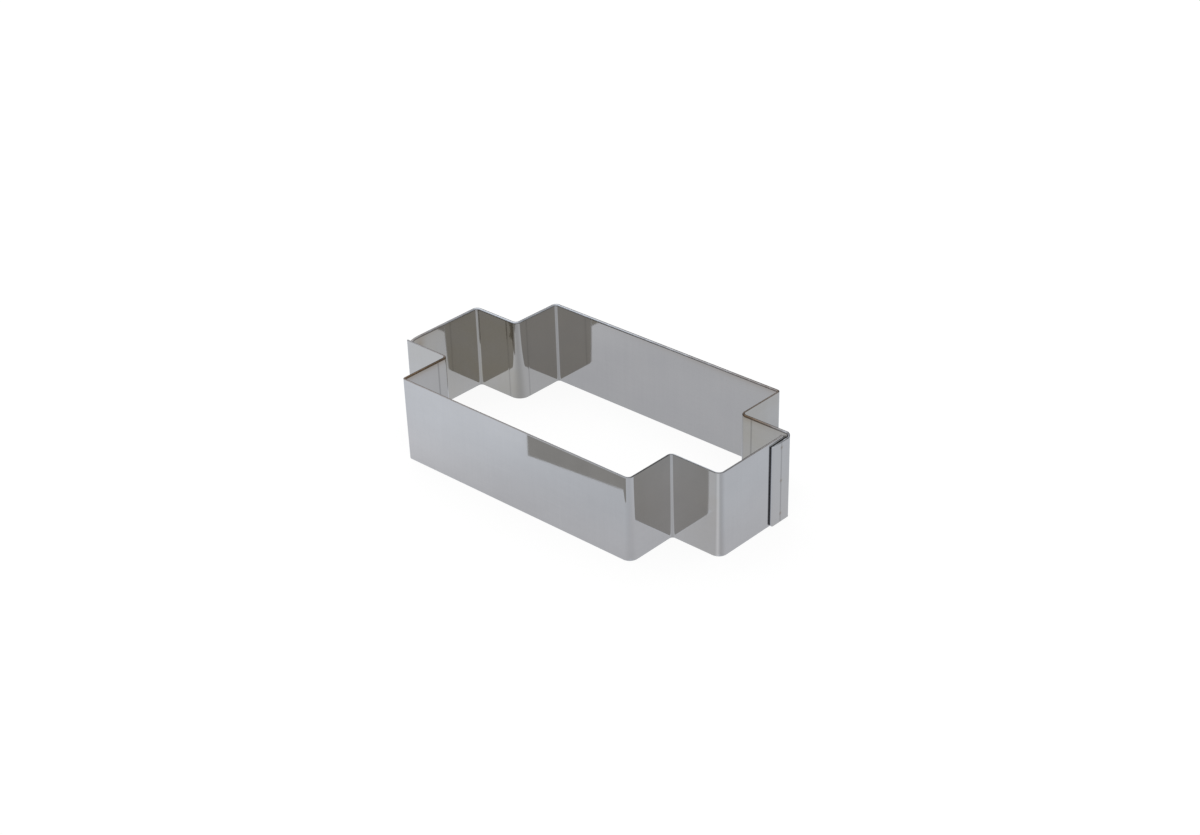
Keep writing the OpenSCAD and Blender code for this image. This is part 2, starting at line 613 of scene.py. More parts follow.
@dataclass
class HalfStrip:
    """One half of the ring: tab, wrapping fold, notch, long wall, notch and end wall."""

    name: str
    node: str
    turned: bool
    sizes: StripSizes
    folds: Sequence[Fold]
    lean: Sequence[Plan]
    tone: Tones
    finish: bpy.types.Material
    hollow_shade: float
    shoulder_power: float = 1.2
    end_reach: float = 0.0
    end_drop: float = 0.0
    # Corners where a painted highlight brightens the rim, as a glint of light at the fold's edge
    painted_glint_corners: Sequence[int] = ()
    painted_glint: float = 0.5
    painted_glint_reach: float = 1.1
    # Corner beside which a painted highlight brightens the fold, and where beside it
    painted_highlight_corner: int | None = None
    painted_highlight: float = 0.42
    painted_highlight_offset: float = 0.4
    painted_highlight_reach: float = 0.33
    # Where painted shade blackens the wrapping fold's narrow hollow, and how far below the rim before and
    # after its corner
    hollow_shade_span: Span = (-1.6, 1.05)
    hollow_shade_clear: Span = (0.3, 0.6)
    # Reach and strength of the tint round a weld, and of the tint below a brown rim
    tab_tint: Span = (0.4, 0.7)
    cavity_tint: Span = (1.7, 0.6)
    rim_tint: Span = (0.8, 1.1)
    # Unevenness of the sheet, and how far from the laps it starts
    ripple: float = 0.010
    ripple_inset: float = 1.35
    calm: float = 14.0
    # How far from a wall's ends its tones are set
    tone_inset: float = 1.0
    # Distance over which the rim's chamfer sets in, and how far from the rims the rows stay level
    roll_change: float = 1.6
    uncut: float = 4.0
    # How finely the skin is divided
    fold_steps: int = 14
    wall_step: float = 2.6
    fine_step: float = 0.26
    bevel_step: float = 0.08
    corner_turns: Sequence[float] = (15.0, 30.0, 45.0, 60.0, 75.0, 90.0)
    press_columns: int = 4
    row_count: int = 11
    support: float = 0.15
    least_column_step: float = 0.02
    least_row_step: float = 0.05
    even_weight: int = 90

    def __post_init__(self) -> None:
        """Works out the walls between the corners of the middle line."""
        self.corners = [np.array(c) for c in self.sizes.middle_line()]
        self.corners[-1][1] -= self.end_reach
        steps = [b - a for a, b in zip(self.corners, self.corners[1:])]
        self.lengths = [float(np.linalg.norm(s)) for s in steps]
        self.headings = [s / n for s, n in zip(steps, self.lengths)]
        self.outward = [np.array([h[1], -h[0]]) for h in self.headings]
        self.starts = [0.0, *np.cumsum(self.lengths)]
        inset = self.tone_inset
        self.tone_places = np.ravel([(a + inset, b - inset) for a, b in zip(self.starts, self.starts[1:])])

    def build(self) -> bpy.types.Object:
        """Makes the piece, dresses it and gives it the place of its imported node.

        Returns:
            The piece.
        """
        columns = self._columns()
        points, marks = self._surface(columns, self._rows())
        piece = self._mesh(columns, points, marks)
        self._unroll(piece.data, columns, points)
        piece.data.materials.append(self.finish)
        even = piece.modifiers.new("even_normals", "WEIGHTED_NORMAL")
        even.weight = self.even_weight
        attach(piece, "root")
        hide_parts(self.node)
        return piece

    def _setback(self, corner: int, height: np.ndarray) -> np.ndarray:
        """How much of a wall the fold at a corner takes up, on the middle line.

        Args:
            corner: Index of the corner.
            height: Heights above the lower rim.

        Returns:
            The lengths taken up, which are nothing at the two free ends.
        """
        if not 0 < corner < len(self.corners) - 1:
            return np.zeros_like(height)
        return self.folds[corner - 1].radius(height, self.sizes.height) + self.sizes.half

    def _middle_setback(self, corner: int) -> float:
        """How much of a wall the fold at a corner takes up half-way up."""
        return float(self._setback(corner, np.array([self.sizes.height / 2]))[0])

    def _wall_place(self, wall: int, offset: float, datum: Datum) -> Stand:
        """Where a column of a wall stands.

        Args:
            wall: Index of the wall.
            offset: Distance along the wall.
            datum: What the distance is measured from.

        Returns:
            A function that gives the middle points and outward directions at some heights.
        """

        def place(height: np.ndarray) -> tuple[np.ndarray, np.ndarray]:
            """Stands the column.

            Args:
                height: Heights above the lower rim.

            Returns:
                Middle points and outward directions.
            """
            if datum is Datum.FOLD_BEFORE:
                run = self._setback(wall, height) + offset
            elif datum is Datum.FOLD_AFTER:
                run = self.lengths[wall] - self._setback(wall + 1, height) - offset
            else:
                run = np.full_like(height, offset)
            middle = self.corners[wall] + run[:, None] * self.headings[wall]
            return middle, np.tile(self.outward[wall], (len(height), 1))

        return place

    def _fold_place(self, corner: int, share: float) -> Stand:
        """Where a column of a fold stands.

        Args:
            corner: Index of the fold's corner.
            share: How far round the fold, from 0 to 1.

        Returns:
            A function that gives the middle points and outward directions at some heights.
        """
        before, after = self.headings[corner - 1], self.headings[corner]
        left = before[0] * after[1] - before[1] * after[0] > 0
        sign = 1.0 if left else -1.0
        first = sign * self.outward[corner - 1]
        turn = sign * math.pi / 2 * share
        cos, sin = math.cos(turn), math.sin(turn)
        spoke = np.array([first[0] * cos - first[1] * sin, first[0] * sin + first[1] * cos])

        def place(height: np.ndarray) -> tuple[np.ndarray, np.ndarray]:
            """Stands the column.

            Args:
                height: Heights above the lower rim.

            Returns:
                Middle points and outward directions.
            """
            radius = self._setback(corner, height)[:, None]
            centre = self.corners[corner] + (after - before) * radius
            return centre + spoke * radius, np.tile(sign * spoke, (len(height), 1))

        return place

    def _across_mark(self, centre: float) -> list[float]:
        """Places close together across an electrode mark."""
        reach = self.sizes.dimple_diameter / 2
        return list(np.arange(centre - reach, centre + reach + self.fine_step / 2, self.fine_step))

    def _wall_offsets(self, wall: int) -> list[float]:
        """Distances from a wall's sharp start at which it has columns of its own.

        Args:
            wall: Index of the wall.

        Returns:
            The distances, in order.
        """
        sizes = self.sizes
        ends = np.array([0.0, sizes.height])
        low = float(self._setback(wall, ends).max()) + 2 * self.support
        high = self.lengths[wall] - float(self._setback(wall + 1, ends).max()) - 2 * self.support
        count = max(2, round((high - low) / self.wall_step) + 1)
        offsets = list(np.linspace(low, high, count))
        for _, centre in self._press_lines(wall):
            beside = range(-self.press_columns, self.press_columns + 1)
            offsets += [centre + i * sizes.press_half_width / 2 for i in beside]
        weld = self._weld_offset(wall)
        if weld is not None:
            offsets += self._across_mark(weld)
        if wall == 0:
            offsets += list(sizes.tab_corner * (1 - np.cos(np.radians(self.corner_turns))))
            offsets += [sizes.tab_bevel_reach + i * self.bevel_step for i in (-1, 0, 1)]
        rounding_error = 1e-6
        offsets = sorted(o for o in offsets if low - rounding_error <= o <= high + rounding_error)
        return thinned(offsets, self.least_column_step)

    def _press_lines(self, wall: int) -> list[tuple[Fold, float]]:
        """Where a folding tool left lines on a wall.

        Args:
            wall: Index of the wall.

        Returns:
            Each fold that has such a line, with the line's distance from the wall's sharp start.
        """
        lines = []
        for corner, from_start in ((wall, True), (wall + 1, False)):
            if not 0 < corner < len(self.corners) - 1 or self.folds[corner - 1].pressed is None:
                continue
            distance = self.sizes.press_distance - self.sizes.half
            lines.append((self.folds[corner - 1], distance if from_start else self.lengths[wall] - distance))
        return lines

    def _weld_offset(self, wall: int) -> float | None:
        """Where a wall has its line of welds.

        Args:
            wall: Index of the wall.

        Returns:
            Distance from the wall's sharp start, or nothing for a wall without welds.
        """
        if wall == 0:
            return self.sizes.weld_line - self.sizes.tab_end
        if wall == len(self.lengths) - 1:
            return self.lengths[wall] - self.end_reach - self.sizes.weld_margin
        return None

    def _columns(self) -> list[Column]:
        """Sets out the columns.

        Returns:
            The columns, from the tab's free end to the inner end.
        """
        columns: list[Column] = []
        edge = self.sizes.rolled_edge
        caps = [(edge * (1 - math.cos(a)), edge * (1 - math.sin(a))) for a in (0.0, *ROLL_TURNS)]
        for wall, length in enumerate(self.lengths):
            if wall == 0:
                columns += [self._on_wall(wall, run, inset) for run, inset in caps]
            else:
                columns += [self._near_fold(wall, d, Datum.FOLD_BEFORE) for d in (0.0, self.support)]
            columns += [self._on_wall(wall, offset) for offset in self._wall_offsets(wall)]
            if wall < len(self.lengths) - 1:
                columns += [self._near_fold(wall, d, Datum.FOLD_AFTER) for d in (self.support, 0.0)]
                columns += self._round_fold(wall + 1)
            else:
                columns += [self._on_wall(wall, length - run, inset) for run, inset in reversed(caps)]
        return columns

    def _on_wall(self, wall: int, run: float, inset: float = 0.0) -> Column:
        """Column at a distance from a wall's sharp start, with its section drawn in by the inset."""
        place = self._wall_place(wall, run, Datum.SHARP_START)
        return Column(place, self.starts[wall] + run, wall, run, inset)

    def _near_fold(self, wall: int, distance: float, datum: Datum) -> Column:
        """Column of a wall that keeps its distance from the fold at one of the wall's ends.

        Args:
            wall: Index of the wall.
            distance: Distance from where the fold starts.
            datum: Which of the two folds.

        Returns:
            The column.
        """
        if datum is Datum.FOLD_BEFORE:
            run = self._middle_setback(wall) + distance
        else:
            run = self.lengths[wall] - self._middle_setback(wall + 1) - distance
        return Column(self._wall_place(wall, distance, datum), self.starts[wall] + run, wall, run)

    def _round_fold(self, corner: int) -> list[Column]:
        """Columns within a fold.

        Args:
            corner: Index of the fold's corner.

        Returns:
            The columns between the two walls.
        """
        columns = []
        for step in range(1, self.fold_steps):
            share = step / self.fold_steps
            along = self.starts[corner] + (2 * share - 1) * self._middle_setback(corner) * math.pi / 4
            shade_and_dulling = self.folds[corner - 1].shade * math.sin(math.pi * share) ** 2
            columns.append(Column(self._fold_place(corner, share), along, shade_and_dulling=shade_and_dulling))
        return columns

    def _rows(self) -> np.ndarray:
        """Sets out the rows of vertices on the broad faces.

        Returns:
            Their heights, which are close together beside the welds.
        """
        height = self.sizes.height
        edge = self.sizes.rolled_edge
        rows = list(np.linspace(edge, height - edge, self.row_count))
        rows += [edge + self.support, height - edge - self.support]
        for level in self.sizes.weld_heights:
            rows += self._across_mark(level)
        return np.array(thinned(sorted(r for r in rows if edge <= r <= height - edge), self.least_row_step))

    def _rims(self, column: Column) -> tuple[float, float]:
        """Lower and upper end of the strip at a column, as the shears left them.

        Args:
            column: The column.

        Returns:
            The two heights.
        """
        sizes = self.sizes
        low, high = 0.0, sizes.height
        if column.wall == 0:
            flat = sizes.tab_length - sizes.thickness - sizes.wrap_radius
            slope = min(1.0, max(0.0, 1 - column.from_start / flat))
            high -= sizes.tab_shoulder + (sizes.tab_drop - sizes.tab_shoulder) * slope
            inside = max(0.0, sizes.tab_corner - column.from_start)
            low = sizes.tab_corner - math.sqrt(sizes.tab_corner**2 - inside**2)
        elif column.wall is None and column.along < self.starts[1] + sizes.thickness:
            reach = (sizes.wrap_radius + sizes.half) * math.pi / 4
            turned = min(1.0, (self.starts[1] + reach - column.along) / (2 * reach))
            high -= sizes.tab_shoulder * max(0.0, turned) ** self.shoulder_power
        elif column.wall == len(self.lengths) - 1:
            # The worn corner fades out over about a millimetre
            high -= self.end_drop * math.exp(column.from_start - self.lengths[column.wall])
        return low + column.inset, high - column.inset

    def _section(self, column: Column, rows: np.ndarray) -> tuple[np.ndarray, np.ndarray, np.ndarray]:
        """Closed line round the strip's section at a column.

        Args:
            column: The column.
            rows: Heights of the rows on an uncut stretch.

        Returns:
            Distance outward from the middle line, height, and how far each point belongs to a sheared edge.
        """
        sizes = self.sizes
        low, high = self._rims(column)
        edge = sizes.rolled_edge
        half = sizes.half - column.inset
        bevel = 0.0
        if column.wall == 0:
            bevel = sizes.tab_bevel * max(0.0, 1 - column.from_start / sizes.tab_bevel_reach)
        share = min(1.0, max(0.0, (column.along - self.starts[1]) / self.roll_change + 1.0))
        roll = edge + (sizes.sheared_roll - edge) * share
        lower, upper = self.uncut, sizes.height - self.uncut
        squeeze = [edge, lower, upper, sizes.height - edge]
        levels = np.interp(rows, squeeze, [low + edge, lower, upper, high - edge])
        within = np.interp(rows, squeeze, [low + edge, lower, upper, high - roll])
        bend, rise = 1 - np.cos(ROLL_TURNS), 1 - np.sin(ROLL_TURNS)
        out = half - edge * bend
        rolled = half - (edge + (sizes.sheared_roll_depth - edge) * share) * bend
        flat = np.full(len(levels), half)
        depth = np.concatenate([flat - bevel, out - bevel, -rolled[::-1], -flat, -out, out[::-1] - bevel])
        height = np.concatenate(
            [
                levels,
                high - edge * rise,
                high - roll * rise[::-1],
                within[::-1],
                low + edge * rise,
                low + edge * rise[::-1],
            ]
        )
        plain = np.zeros(len(levels))
        worn = np.array([0.5, 1.0, 1.0])
        sheared = np.concatenate([plain, worn, np.ones(ROLL_POINTS), plain, worn, worn[::-1]])
        return depth, height, sheared

    def _surface(
        self, columns: Sequence[Column], rows: np.ndarray
    ) -> tuple[np.ndarray, dict[Mark, np.ndarray]]:
        """Points of the whole skin and the values kept there.

        Args:
            columns: The columns in order.
            rows: Heights of the rows on an uncut stretch.

        Returns:
            Points by column and place in the section, in millimetres, and the values in the same layout.
        """
        points = []
        marks: dict[Mark, list[np.ndarray]] = {mark: [] for mark in Mark}
        tint_reach, tint = self.rim_tint
        for column in columns:
            depth, height, sheared = self._section(column, rows)
            middle, outward = column.place(height)
            middle = middle + self._lean(column.along) * height[:, None] / self.sizes.height
            side = np.sign(depth)
            dent, press, heat = self._tool_marks(column, side, height, sheared)
            offset = depth - side * dent + self.ripple * self._ripple(column.along, height)
            points.append(np.column_stack([middle + outward * offset[:, None], height]))
            warmth = self._tone(self.tone.warmth, column)
            brown = tint * warmth * np.exp((height - self.sizes.height) / tint_reach) * (side < 0)
            film_and_shade_outside = self._tone(self.tone.film_and_shade_outside, column)
            film_and_shade_inside = self._tone(self.tone.film_and_shade_inside, column)
            kept = {
                Mark.ALONG: column.along,
                Mark.UP: height,
                Mark.SIDE: side,
                Mark.EDGE: 1.0 if column.inset > 0 else sheared,
                # Lowering the rim's flat tone near the glinting corners paints a highlight there
                Mark.FLAT_TONE: self._tone(self.tone.flat, column) - self._painted_glint(column.along),
                Mark.OUTER_TONE: self._tone(self.tone.outer, column),
                Mark.INNER_TONE: self._tone(self.tone.inner, column),
                Mark.WARMTH: warmth,
                Mark.PRESS: press,
                Mark.HEAT: heat + brown,
                Mark.HOLLOW_SHADE: self._hollow_shade(column, side, height),
                Mark.SHADE_AND_DULL: self._shade_and_dulling(column),
                Mark.FILM_AND_SHADE: np.where(side > 0, film_and_shade_outside, film_and_shade_inside),
            }
            for mark, values in kept.items():
                marks[mark].append(np.broadcast_to(values, height.shape))
        return np.array(points), {mark: np.array(values) for mark, values in marks.items()}

    def _tone(self, values: Ends, column: Column) -> float:
        """A tone at a column, from its values at the ends of the walls."""
        return float(np.interp(column.along, self.tone_places, np.ravel(values)))

    def _lean(self, along: float) -> np.ndarray:
        """How far the upper rim leans out of the upright in plan, at a distance along the strip."""
        return np.array([np.interp(along, self.starts, offsets) for offsets in zip(*self.lean)])

    def _painted_glint(self, along: float) -> float:
        """How much a painted highlight brightens the rim near the glinting corners."""
        away = [(along - self.starts[corner]) / self.painted_glint_reach for corner in self.painted_glint_corners]
        return sum(self.painted_glint * math.exp(-(share**2)) for share in away)

    def _shade_and_dulling(self, column: Column) -> float:
        """How far painted shade darkens the fold and the tool dulled it, or below zero where a painted
        highlight brightens it.

        Args:
            column: The column.

        Returns:
            Strength of the painted shade and dulling, less any painted highlight.
        """
        if self.painted_highlight_corner is None:
            return column.shade_and_dulling
        away = column.along - self.starts[self.painted_highlight_corner] + self.painted_highlight_offset
        return column.shade_and_dulling - self.painted_highlight * math.exp(-((away / self.painted_highlight_reach) ** 2))

    def _hollow_shade(self, column: Column, side: np.ndarray, height: np.ndarray) -> np.ndarray:
        """How black painted shade makes the inside of the wrapping fold, where the lap leaves a narrow
        hollow.

        Args:
            column: The column.
            side: Sign of the face at each point.
            height: Height of each point.

        Returns:
            Strength of the painted shade at each point.
        """
        away = column.along - self.starts[1]
        first, last = self.hollow_shade_span
        clear = self.hollow_shade_clear[0] if away < 0 else self.hollow_shade_clear[1]
        below = height < self.sizes.height - clear
        return self.hollow_shade * float(first < away < last) * (side < 0) * below

    def _ripple(self, along: float, height: np.ndarray) -> np.ndarray:
        """Slow unevenness of the sheet, inward from its outer face and still at the two laps.

        Args:
            along: Distance along the strip.
            height: Heights above the lower rim.

        Returns:
            The unevenness.
        """
        to_lap = min(along, self.starts[-1] - along)
        ends = min(1.0, max(0.0, (to_lap - self.calm) / self.calm))
        # The number under each distance is the millimetres that one radian of the wave takes up
        broad = np.sin(along / 6.1 + 0.9 + height / 19.0)
        close = np.sin(along / 3.7 - height / 8.0)
        upright = np.sin(height / 5.5 + along / 9.0)
        return ends * (0.6 * (broad + 0.7 * close) + 0.3 * upright - self.ripple_inset)

    def _tool_marks(
        self, column: Column, side: np.ndarray, height: np.ndarray, sheared: np.ndarray
    ) -> tuple[np.ndarray, np.ndarray, np.ndarray]:
        """Dents, folding lines and heat tint at a column.

        Args:
            column: The column.
            side: Sign of the face at each point.
            height: Height of each point.
            sheared: How far each point belongs to a sheared edge.

        Returns:
            Depth of the dent, strength of the folding line, and strength of the heat tint.
        """
        sizes = self.sizes
        dent = np.zeros_like(height)
        press = np.zeros_like(height)
        heat = np.zeros_like(height)
        if column.wall is None or column.inset > 0:
            return dent, press, heat
        face = 1.0 - sheared
        for fold, centre in self._press_lines(column.wall):
            near = max(0.0, 1 - abs(column.from_start - centre) / (2 * sizes.press_half_width))
            press += fold.press * near * (side == fold.pressed.value) * face
        dent += sizes.press_depth * press
        weld = self._weld_offset(column.wall)
        if weld is None:
            return dent, press, heat
        marked = Face.OUTER if column.wall == 0 else Face.CAVITY
        spread, strength = self.tab_tint if marked is Face.OUTER else self.cavity_tint
        for level in sizes.weld_heights:
            away = np.hypot(column.from_start - weld, height - level)
            bowl = 1 - (away / (sizes.dimple_diameter / 2)) ** 2
            dent += sizes.dimple_depth * np.maximum(0.0, bowl) * (side == marked.value) * face
            heat += np.exp(-((away / spread) ** 2)) * strength
        return dent, press, heat

    def _mesh(
        self, columns: Sequence[Column], points: np.ndarray, marks: dict[Mark, np.ndarray]
    ) -> bpy.types.Object:
        """Makes the mesh with its kept values.

        Args:
            columns: The columns in order.
            points: Points by column and place in the section.
            marks: Values in the same layout.

        Returns:
            The object.
        """
        count = points.shape[1]
        flip = np.array([-1.0, -1.0, 1.0]) if self.turned else np.ones(3)
        index = np.arange(len(columns) * count).reshape(len(columns), count)
        here, there = index[:-1], index[1:]
        sides = np.stack([here, there, np.roll(there, -1, axis=1), np.roll(here, -1, axis=1)], axis=-1)
        # A cap joins each point of the outer side to the one across from it, from the lower roll upward
        rising = np.arange(-ROLL_POINTS, count // 2 - ROLL_POINTS)
        outer = rising % count
        inner = (count - 2 * ROLL_POINTS - 1 - rising) % count
        caps = []
        for column, order in ((0, 1), (len(columns) - 1, -1)):
            line = index[column]
            quads = np.stack([line[outer[:-1]], line[outer[1:]], line[inner[1:]], line[inner[:-1]]], axis=-1)
            caps.append(quads[:, ::order])
        faces = np.concatenate([sides.reshape(-1, 4), *caps])
        mesh = bpy.data.meshes.new(self.name)
        mesh.from_pydata((points.reshape(-1, 3) * flip * MM).tolist(), [], faces.tolist())
        mesh.shade_smooth()
        for mark, values in marks.items():
            layer = mesh.attributes.new(mark.value, "FLOAT", "POINT")
            layer.data.foreach_set("value", values.astype(np.float32).ravel())
        return new_object(self.name, mesh)

    def _unroll(self, mesh: bpy.types.Mesh, columns: Sequence[Column], points: np.ndarray) -> None:
        """Lays the skin out flat for baking, as two runs of the unrolled strip, one above the other.

        Args:
            mesh: The piece's mesh.
            columns: The columns in order.
            points: Points by column and place in the section.
        """
        count = points.shape[1]
        gap = 2.0
        steps = np.linalg.norm(np.diff(points, axis=1, append=points[:, :1]), axis=2)
        around = np.concatenate([np.zeros((len(columns), 1)), np.cumsum(steps, axis=1)], axis=1)
        run_length = self.starts[-1] / 2
        run_height = float(around[:, -1].max()) + gap
        scale = 1.0 / (2 * run_height + gap)
        along = np.array([c.along for c in columns])
        layer = mesh.uv_layers.new(name=BAKE_MAP)
        corners = np.zeros((len(mesh.loops), 2))
        vertices = np.array([loop.vertex_index for loop in mesh.loops])
        for face in mesh.polygons:
            span = slice(face.loop_start, face.loop_start + face.loop_total)
            column, place = np.divmod(vertices[span], count)
            wraps = place.max() - place.min() == count - 1
            place = np.where(wraps & (place == 0), count, place)
            if column.max() == column.min():
                # A cap stands beside the two runs, a millimetre wide
                across = np.where(place * 2 > count, 0.0, 1.0)
                second = (along[column] - along[0] > run_length) * 1.0
                run = run_length + gap + second * gap + across
                flat = np.column_stack([run, points[column, place % count, 2]])
            else:
                second = along[column].mean() > run_length
                run = along[column] - second * run_length
                flat = np.column_stack([run, around[column, place] + second * run_height])
            corners[span] = (flat + gap / 2) * scale
        layer.data.foreach_set("uv", corners.ravel())


@dataclass
class SpotWelds:
    """The welds of one seam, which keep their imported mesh."""

    node: str
    finish: bpy.types.Material

    def build(self) -> bpy.types.Object:
        """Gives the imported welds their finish.

        Returns:
            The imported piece.
        """
        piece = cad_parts[self.node]
        piece.data.materials.clear()
        piece.data.materials.append(self.finish)
        return piece


def back_strip(sizes: StripSizes, finish: bpy.types.Material) -> HalfStrip:
    """Describes the half strip behind, whose tab laps the right-hand end wall.

    Args:
        sizes: Sizes of a half strip.
        finish: Material of the strip.

    Returns:
        The half strip, ready to be built.
    """
    return HalfStrip(
        name="back_strip_skin",
        node="back_strip",
        turned=False,
        sizes=sizes,
        folds=(
            Fold(0.25, 0.25, Face.OUTER, shade=0.3),
            Fold(1.7, 1.0, Face.CAVITY, shade=0.36),
            Fold(0.55, 0.4, shade=0.4),
            Fold(0.9, 0.85, shade=0.2),
            Fold(2.6, 1.1, Face.CAVITY, shade=0.2, press=0.6),
            Fold(1.0, 0.95, shade=0.17),
        ),
        lean=((0, 0.25), (0, 0.25), (0.2, 0.25), (0.2, 0), (0, 0), (-0.28, 0), (0, 0), (0, 0)),
        # Edge tones paint reflection and shade on the rims along with their dullness; film tones are partly
        # painted shade
        tone=Tones(
            flat=((0.1, 0), (0.4, 0.85), (0.75, 0.65), (0.95, 0.62), (0.62, 0.6), (0.55, 0.5), (0.5, 0.45)),
            outer=((0, 1.1), (1.1, 1.1), (0.8, 0.8), (1.6, 1.4), (1.4, 1.4), (1.35, 1.35), (1.2, 1.2)),
            inner=((0.56, 1), (0.3, 0.8), (0.9, 0.8), (0.38, 0.12), (0.32, 0.32), (0.1, 0.1), (0.33, 0.38)),
            warmth=((0, 0.1), (0.2, 1), (0.9, 0.7), (0.7, 0), (0.1, 0.1), (0, 0), (0.1, 0.6)),
            film_and_shade_outside=((0.15, 0.2), (0.2, 0.5), (0.7, 0.6), (0, 0), (0, 0), (0, 0), (0, 0)),
            film_and_shade_inside=((0, 0), (0.9, 1), (0.5, 0.4), (0.15, 0.1), (0.4, 0.5), (1, 1), (0.45, 0.9)),
        ),
        finish=finish,
        hollow_shade=1.0,
        end_reach=0.9,
        end_drop=0.5,
        painted_glint_corners=(4, 5, 6),
    )


def front_strip(sizes: StripSizes, finish: bpy.types.Material) -> HalfStrip:
    """Describes the half strip in front, the same piece turned half round.

    Args:
        sizes: Sizes of a half strip.
        finish: Material of the strip.

    Returns:
        The half strip, ready to be built.
    """
    return HalfStrip(
        name="front_strip_skin",
        node="front_strip",
        turned=True,
        sizes=sizes,
        folds=(
            Fold(0.3, 0.3, shade=0.3),
            Fold(1.4, 0.95, Face.CAVITY),
            Fold(0.35, 0.25, shade=0.45),
            Fold(1.9, 1.1, shade=0.08),
            Fold(0.95, 0.7, Face.CAVITY),
            Fold(1.9, 1.3, shade=0.17),
        ),
        lean=((0, 0), (0, -0.1), (0.25, -0.15), (0.12, 0), (0, 0), (0, 0), (0, 0), (0, 0)),
        # Edge tones paint reflection and shade on the rims along with their dullness; film tones are partly
        # painted shade
        tone=Tones(
            flat=((0.2, 0), (0.4, 0.5), (0.92, 0.8), (0.5, 0.45), (0.85, 0.85), (0.35, 0.3), (0.6, 0.2)),
            outer=((0.7, 0.6), (0.4, 0.45), (1.1, 1.1), (0.35, 0.55), (1.0, 1.0), (0.95, 0.95), (0.85, 0.7)),
            inner=((1.1, 0.7), (0.5, 0.7), (0.8, 0.7), (0.7, 0.55), (0.95, 0.95), (0.1, 0.1), (0.9, 1.1)),
            warmth=((0.3, 0.3), (0.2, 0.4), (1, 1), (0.55, 0), (0, 0), (0, 0), (0, 0.8)),
            film_and_shade_outside=((0, 0.2), (0.4, 0.4), (0, 0), (0, 0), (0, 0), (0.1, 0.5), (0, 0)),
            film_and_shade_inside=((0, 0), (0, 0.2), (0.3, 0.1), (0, 0), (0, 0), (0, 0), (0, 0)),
        ),
        finish=finish,
        hollow_shade=0.0,
        shoulder_power=5.0,
        painted_glint_corners=(5,),
        painted_highlight_corner=6,
    )


# Studio


@dataclass
class PhotoCamera:
    """Camera at the photograph's place, in millimetres, and angle, in degrees."""

    place: Place = (346.784, -364.587, 300.856)
    azimuth: float = 43.2755
    elevation: float = 29.6295
    roll: float = -1.842
    lens: float = 63.88
    sensor: float = 36.0
    clip_start: float = 0.01
    clip_end: float = 20.0

    def build(self) -> bpy.types.Object:
        """Makes the camera and makes it the scene's.

        Returns:
            The camera.
        """
        data = bpy.data.cameras.new("photo_camera")
        data.lens = self.lens
        data.sensor_width = self.sensor
        data.clip_start = self.clip_start
        data.clip_end = self.clip_end
        camera = new_object("photo_camera", data)
        turn = Matrix.Rotation(math.radians(self.azimuth), 4, "Z")
        tilt = Matrix.Rotation(math.radians(90.0 - self.elevation), 4, "X")
        roll = Matrix.Rotation(math.radians(self.roll), 4, "Z")
        camera.matrix_world = Matrix.Translation(Vector(self.place) * MM) @ turn @ tilt @ roll
        bpy.context.scene.camera = camera
        return camera


